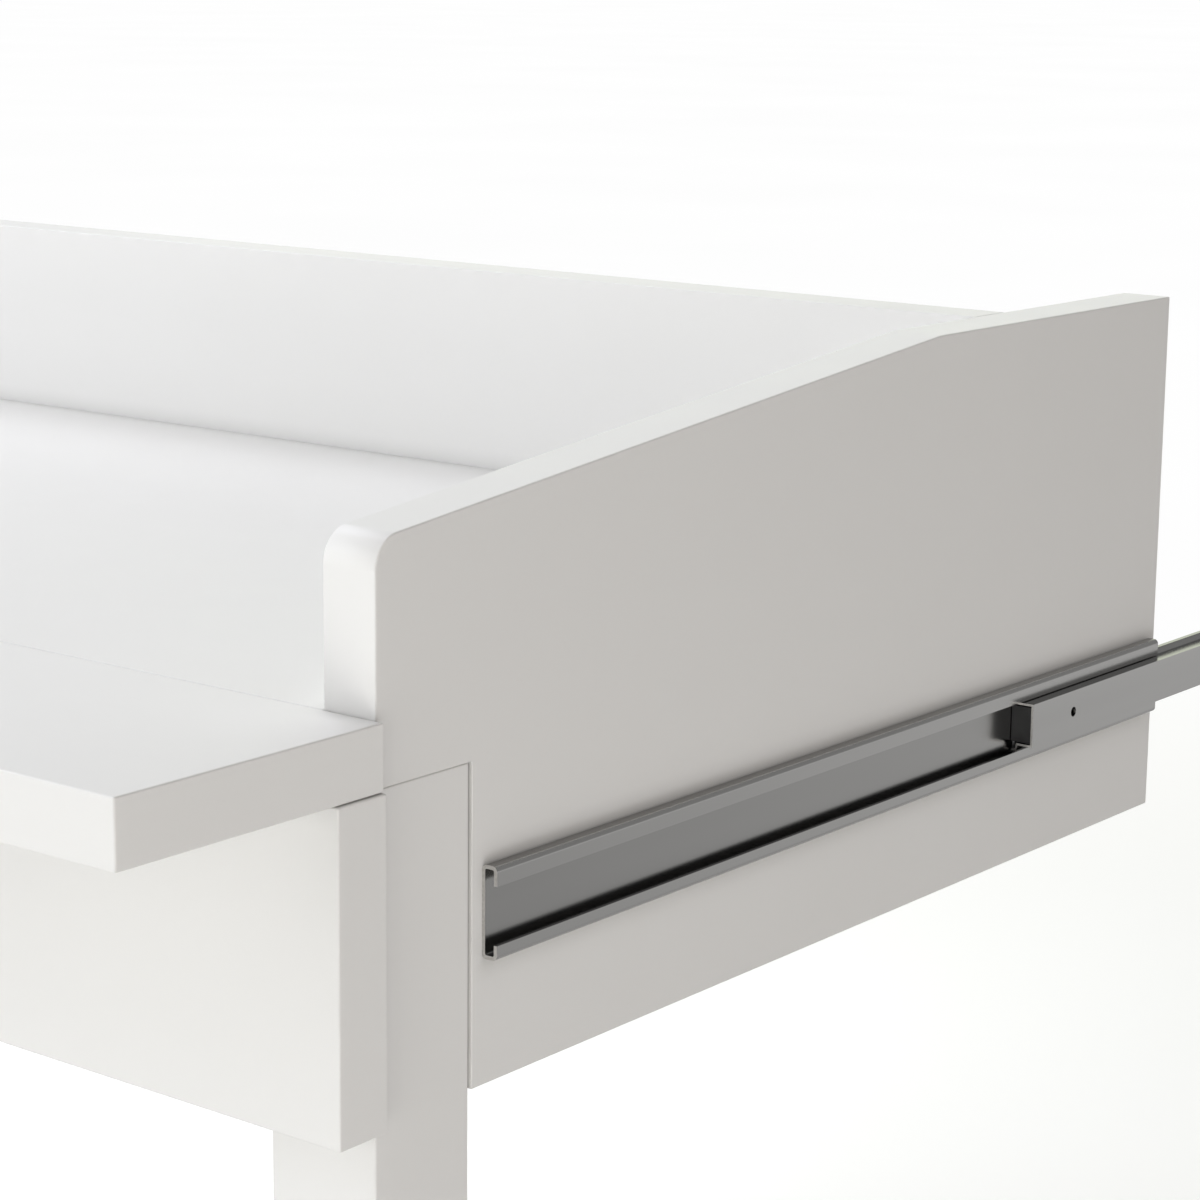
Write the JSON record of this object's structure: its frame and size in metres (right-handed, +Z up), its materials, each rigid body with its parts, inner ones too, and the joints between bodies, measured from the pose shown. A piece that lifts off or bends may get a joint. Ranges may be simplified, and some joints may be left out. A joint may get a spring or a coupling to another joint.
{
  "type": "pull-out desk tray",
  "caption": "Wide pull-out tray with a front ledge, sloped sides and its own front legs, sliding in and out under a desk on ball-bearing side slides.",
  "frame": {"origin": "on the floor, midway across the width and midway along the full depth with the tray fully out", "axes": "+X to the right seen from the front, +Y to the back (the way the tray is pushed in), +Z up"},
  "size_m": [1.098, 1.056, 0.841],
  "materials": {
    "lacquer": "satin white lacquer on fibreboard, edges eased",
    "beech": "bare fluted beech",
    "zinc": "bright zinc plating",
    "slide_steel": "satin grey zinc, rolled",
    "ball_steel": "polished",
    "brass": "turned",
    "black_plastic": "fine moulded grain",
    "white_plastic": "fine moulded grain",
    "nylon": "smooth, slightly waxy"
  },
  "bodies": {
    "runners": {"runner_right": "slide_steel", "runner_left": "slide_steel", "runner_stops": "black_plastic", "runner_bumpers": "black_plastic"},
    "cage_right": {"ball_cage_right": "zinc", "balls_right": "ball_steel"},
    "cage_left": {"ball_cage_left": "zinc", "balls_left": "ball_steel"},
    "foot_right": {"foot_stem_right": "zinc", "foot_pad_right": "nylon"},
    "foot_left": {"foot_stem_left": "zinc", "foot_pad_left": "nylon"},
    "tray": {"front_shelf": "lacquer", "front_panel": "lacquer", "tray_bottom": "lacquer", "back_panel": "lacquer", "side_panel_right": "lacquer", "side_panel_left": "lacquer", "leg_right": "lacquer", "leg_left": "lacquer", "shelf_dowels": "beech", "panel_dowels": "beech", "side_dowels": "beech", "back_dowels": "beech", "leg_dowels": "beech", "tray_cams": "zinc", "tray_cam_bolts": "zinc", "back_cams": "zinc", "back_cam_bolts": "zinc", "cam_caps": "white_plastic", "leg_bolts": "zinc", "leg_washers": "zinc", "leg_nuts": "brass", "angle_brackets": "zinc", "bracket_screws": "zinc", "foot_sockets": "zinc", "slide_channel_right": "slide_steel", "slide_channel_left": "slide_steel", "channel_studs": "zinc"}
  },
  "joints": [
    {"name": "tray_slide", "type": "slide", "parent": "runners", "child": "tray", "axis": [0, 1, 0], "range_m": [0, 0.372]},
    {"name": "cage_right_slide", "type": "slide", "parent": "runners", "child": "cage_right", "axis": [0, 1, 0], "range_m": [0, 0.186]},
    {"name": "cage_left_slide", "type": "slide", "parent": "runners", "child": "cage_left", "axis": [0, 1, 0], "range_m": [0, 0.186]},
    {"name": "foot_right_level", "type": "slide", "parent": "tray", "child": "foot_right", "axis": [0, 0, 1], "range_m": [0, 0.005]},
    {"name": "foot_left_level", "type": "slide", "parent": "tray", "child": "foot_left", "axis": [0, 0, 1], "range_m": [0, 0.005]}
  ],
  "couplings": [
    {"joint": "cage_right_slide", "follows": "tray_slide", "ratio": 0.5},
    {"joint": "cage_left_slide", "follows": "tray_slide", "ratio": 0.5}
  ]
}
